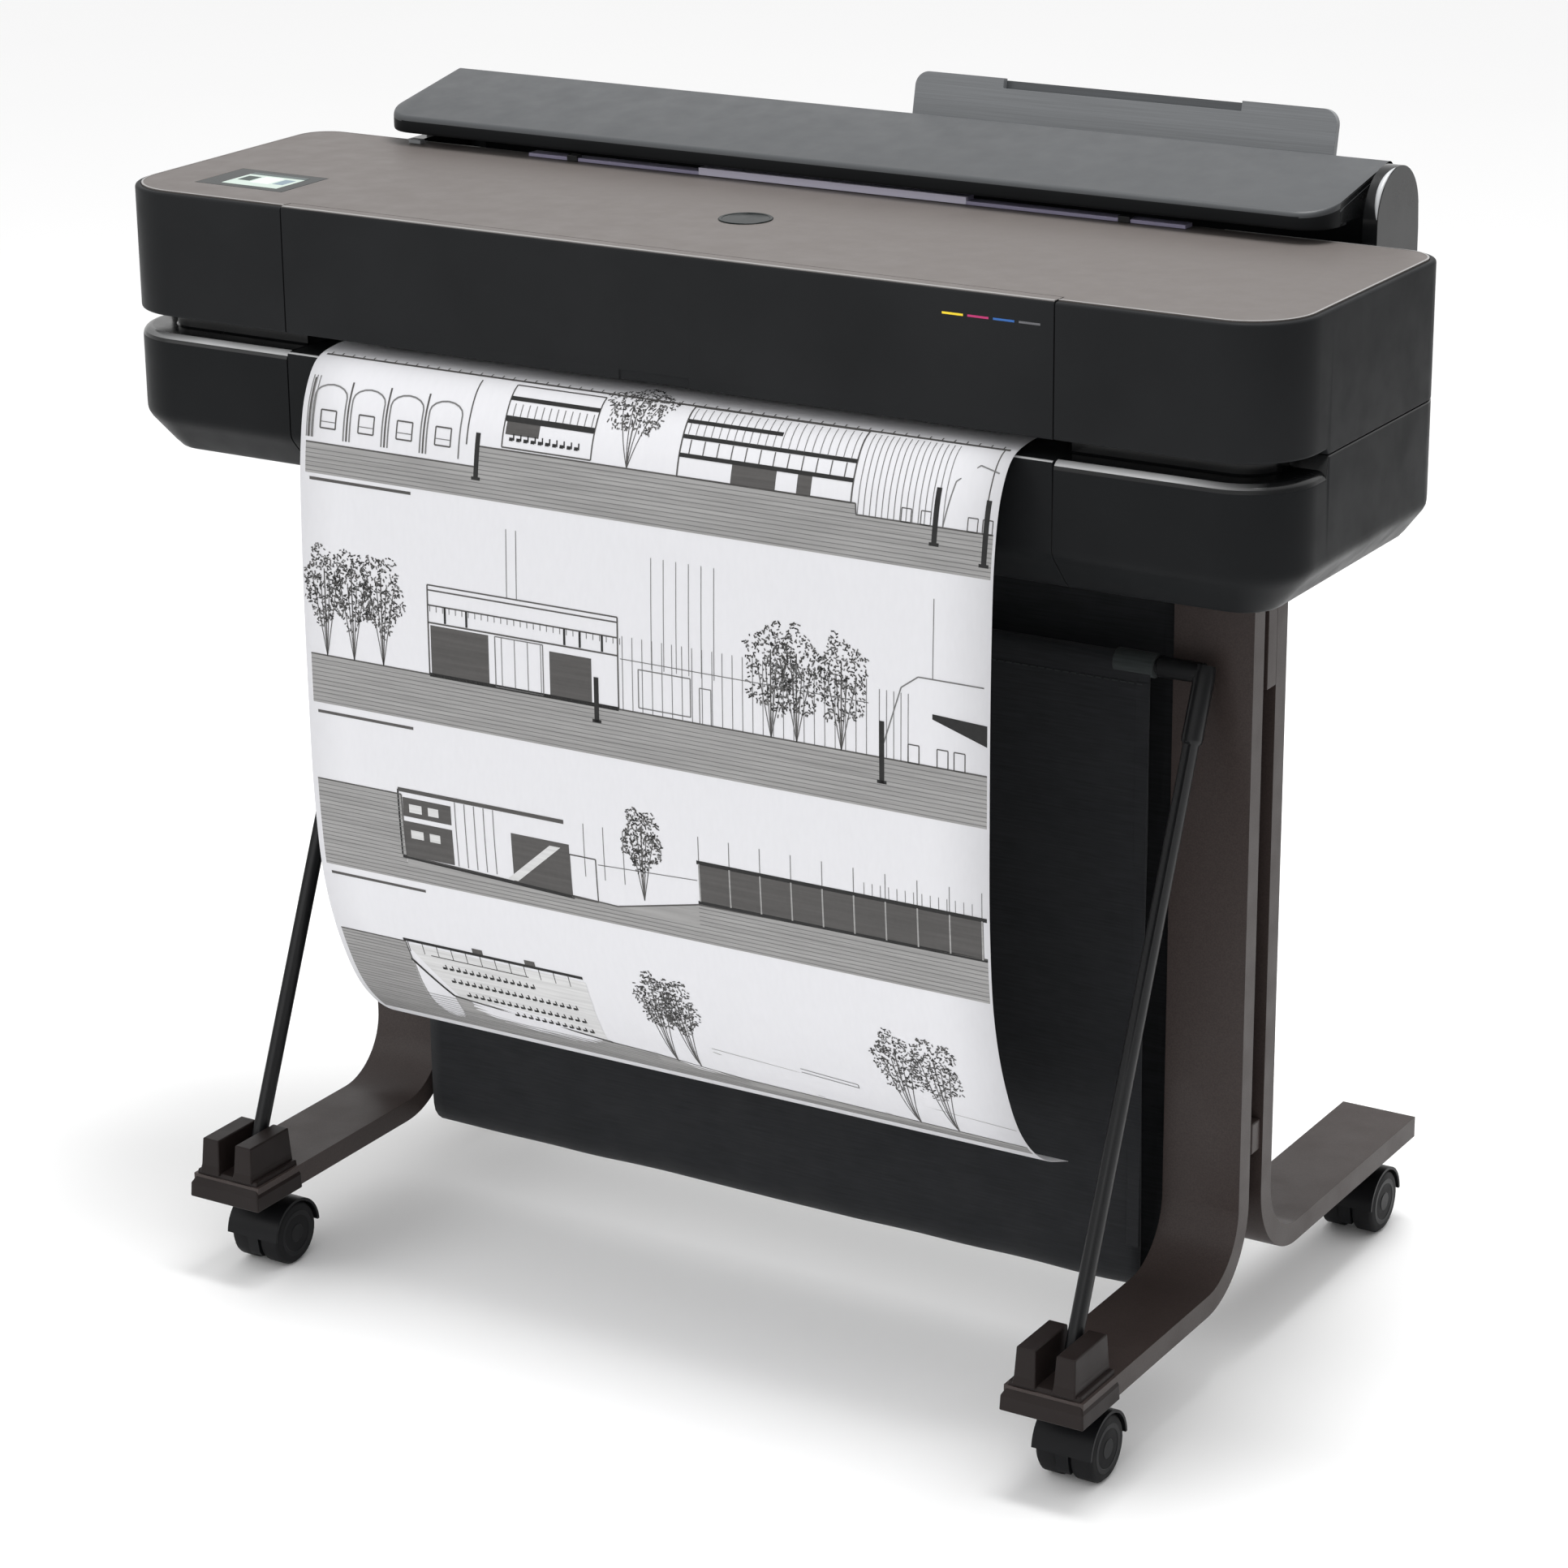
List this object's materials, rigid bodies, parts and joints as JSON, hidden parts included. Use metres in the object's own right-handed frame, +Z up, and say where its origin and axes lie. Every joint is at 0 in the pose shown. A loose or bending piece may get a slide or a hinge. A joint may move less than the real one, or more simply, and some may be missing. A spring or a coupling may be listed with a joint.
{
  "type": "large format plotter",
  "caption": "Roll-fed large format plotter on a two-legged caster stand, with hinged covers, sheet feeder, print carriage, hanging print and fabric print basket.",
  "frame": {"origin": "on the floor, under the centre of the bounding box", "axes": "+X to the right along the print width, front faces -Y, +Z up"},
  "size_m": [1.023, 0.609, 0.9554],
  "materials": {
    "case": "satin charcoal",
    "top_plastic": "satin taupe",
    "display_glass": "gloss black touch panel",
    "lower_case": "satin black",
    "sheet_steel": "zinc-plated sheet",
    "bright_steel": "turned steel",
    "black_fitting": "semi-gloss black",
    "grey_fitting": "grey moulding",
    "cover_grey": "fine-textured slate grey",
    "pale_guide": "pale lilac-grey moulding",
    "paper": "coated white paper",
    "rubber": "matt black",
    "ink_yellow": "moulded, yellow end",
    "ink_magenta": "moulded, magenta end",
    "ink_cyan": "moulded, cyan end",
    "ink_black": "moulded, dark grey",
    "stand_paint": "satin dark brown",
    "foot_plastic": "dark brown moulding",
    "caster_plastic": "black moulding",
    "rod_black": "semi-gloss black",
    "basket_cloth": "black woven polyester"
  },
  "bodies": {
    "machine": {"upper_end_left": "case", "upper_end_right": "case", "top_cover": "top_plastic", "touch_display": "display_glass", "lower_end_left": "lower_case", "lower_end_right": "lower_case", "lower_front_panel": "lower_case", "base_pan": "sheet_steel", "electronics_box": "lower_case", "power_inlet": "black_fitting", "roll_bay": "lower_case", "roll_end_left": "black_fitting", "roll_end_right": "black_fitting", "input_guide": "pale_guide", "platen": "grey_fitting", "feed_motor": "bright_steel", "feed_belt": "rubber", "guide_rail": "bright_steel", "cross_beam": "sheet_steel", "service_station": "black_fitting", "ink_bay": "black_fitting", "ink_cartridge_yellow": "ink_yellow", "ink_cartridge_magenta": "ink_magenta", "ink_cartridge_cyan": "ink_cyan", "ink_cartridge_black": "ink_black", "printed_sheet": "paper", "leg_left_front": "stand_paint", "leg_left_rear": "stand_paint", "leg_right_front": "stand_paint", "leg_right_rear": "stand_paint", "foot_cap_left": "foot_plastic", "foot_cap_right": "foot_plastic", "stand_top_frame": "stand_paint", "stand_lower_brace": "stand_paint", "basket_fabric_rear": "basket_cloth"},
    "front_cover": {"front_cover": "case"},
    "roll_cover": {"roll_cover": "cover_grey"},
    "feeder_tray": {"feeder_tray": "cover_grey"},
    "feeder_extension": {"feeder_extension": "cover_grey"},
    "spindle": {"roll_spindle": "black_fitting", "spindle_stop": "black_fitting", "paper_roll": "paper"},
    "drive_roller": {"drive_roller": "bright_steel"},
    "pinch_roller": {"pinch_roller": "rubber"},
    "motor_pulley": {"motor_pulley": "bright_steel"},
    "print_carriage": {"print_carriage": "black_fitting"},
    "cutter": {"cutter_shuttle": "grey_fitting"},
    "basket_frame": {"basket_rod_left": "rod_black", "basket_rod_right": "rod_black", "basket_tube": "rod_black", "basket_fabric_front": "basket_cloth"},
    "fork_front_left": {"caster_fork_front_left": "caster_plastic"},
    "fork_front_right": {"caster_fork_front_right": "caster_plastic"},
    "fork_rear_left": {"caster_fork_rear_left": "caster_plastic"},
    "fork_rear_right": {"caster_fork_rear_right": "caster_plastic"},
    "wheel_front_left": {"caster_wheel_front_left": "rubber"},
    "wheel_front_right": {"caster_wheel_front_right": "rubber"},
    "wheel_rear_left": {"caster_wheel_rear_left": "rubber"},
    "wheel_rear_right": {"caster_wheel_rear_right": "rubber"}
  },
  "joints": [
    {"name": "front_cover_hinge", "type": "hinge", "parent": "machine", "child": "front_cover", "pos_m": [0, -0.2025, 0.888], "axis": [-1, 0, 0], "range_deg": [0, 75]},
    {"name": "roll_cover_hinge", "type": "hinge", "parent": "machine", "child": "roll_cover", "pos_m": [0, 0.1285, 0.895], "axis": [-1, 0, 0], "range_deg": [0, 64]},
    {"name": "feeder_tray_tilt", "type": "hinge", "parent": "machine", "child": "feeder_tray", "pos_m": [0.167, 0.1875, 0.884], "axis": [-1, 0, 0], "range_deg": [0, 30]},
    {"name": "feeder_extension_slide", "type": "slide", "parent": "feeder_tray", "child": "feeder_extension", "axis": [0, 0.2079, 0.9781], "range_m": [0, 0.055]},
    {"name": "spindle_spin", "type": "hinge", "parent": "machine", "child": "spindle", "pos_m": [0, 0.1215, 0.822], "axis": [1, 0, 0], "continuous": true},
    {"name": "drive_roller_spin", "type": "hinge", "parent": "machine", "child": "drive_roller", "pos_m": [0, -0.0645, 0.764], "axis": [1, 0, 0], "continuous": true},
    {"name": "pinch_roller_spin", "type": "hinge", "parent": "machine", "child": "pinch_roller", "pos_m": [0, -0.0645, 0.787], "axis": [1, 0, 0], "continuous": true},
    {"name": "motor_pulley_spin", "type": "hinge", "parent": "machine", "child": "motor_pulley", "pos_m": [-0.367, -0.1205, 0.73], "axis": [1, 0, 0], "continuous": true},
    {"name": "carriage_slide", "type": "slide", "parent": "machine", "child": "print_carriage", "axis": [1, 0, 0], "range_m": [-0.4, 0.42]},
    {"name": "cutter_slide", "type": "slide", "parent": "machine", "child": "cutter", "axis": [1, 0, 0], "range_m": [0, 0.6]},
    {"name": "basket_swing", "type": "hinge", "parent": "machine", "child": "basket_frame", "pos_m": [0, -0.2545, 0.112], "axis": [1, 0, 0], "range_deg": [0, 18]},
    {"name": "swivel_front_left", "type": "hinge", "parent": "machine", "child": "fork_front_left", "pos_m": [-0.378, -0.2545, 0.05], "axis": [0, 0, 1], "continuous": true},
    {"name": "swivel_front_right", "type": "hinge", "parent": "machine", "child": "fork_front_right", "pos_m": [0.378, -0.2545, 0.05], "axis": [0, 0, 1], "continuous": true},
    {"name": "swivel_rear_left", "type": "hinge", "parent": "machine", "child": "fork_rear_left", "pos_m": [-0.378, 0.2535, 0.05], "axis": [0, 0, 1], "continuous": true},
    {"name": "swivel_rear_right", "type": "hinge", "parent": "machine", "child": "fork_rear_right", "pos_m": [0.378, 0.2535, 0.05], "axis": [0, 0, 1], "continuous": true},
    {"name": "roll_front_left", "type": "hinge", "parent": "fork_front_left", "child": "wheel_front_left", "pos_m": [-0.378, -0.2415, 0.027], "axis": [1, 0, 0], "continuous": true},
    {"name": "roll_front_right", "type": "hinge", "parent": "fork_front_right", "child": "wheel_front_right", "pos_m": [0.378, -0.2415, 0.027], "axis": [1, 0, 0], "continuous": true},
    {"name": "roll_rear_left", "type": "hinge", "parent": "fork_rear_left", "child": "wheel_rear_left", "pos_m": [-0.378, 0.2665, 0.027], "axis": [1, 0, 0], "continuous": true},
    {"name": "roll_rear_right", "type": "hinge", "parent": "fork_rear_right", "child": "wheel_rear_right", "pos_m": [0.378, 0.2665, 0.027], "axis": [1, 0, 0], "continuous": true}
  ],
  "couplings": [
    {"joint": "pinch_roller_spin", "follows": "drive_roller_spin", "ratio": -2},
    {"joint": "motor_pulley_spin", "follows": "drive_roller_spin", "ratio": 2.5},
    {"joint": "spindle_spin", "follows": "drive_roller_spin", "ratio": 0.359}
  ]
}
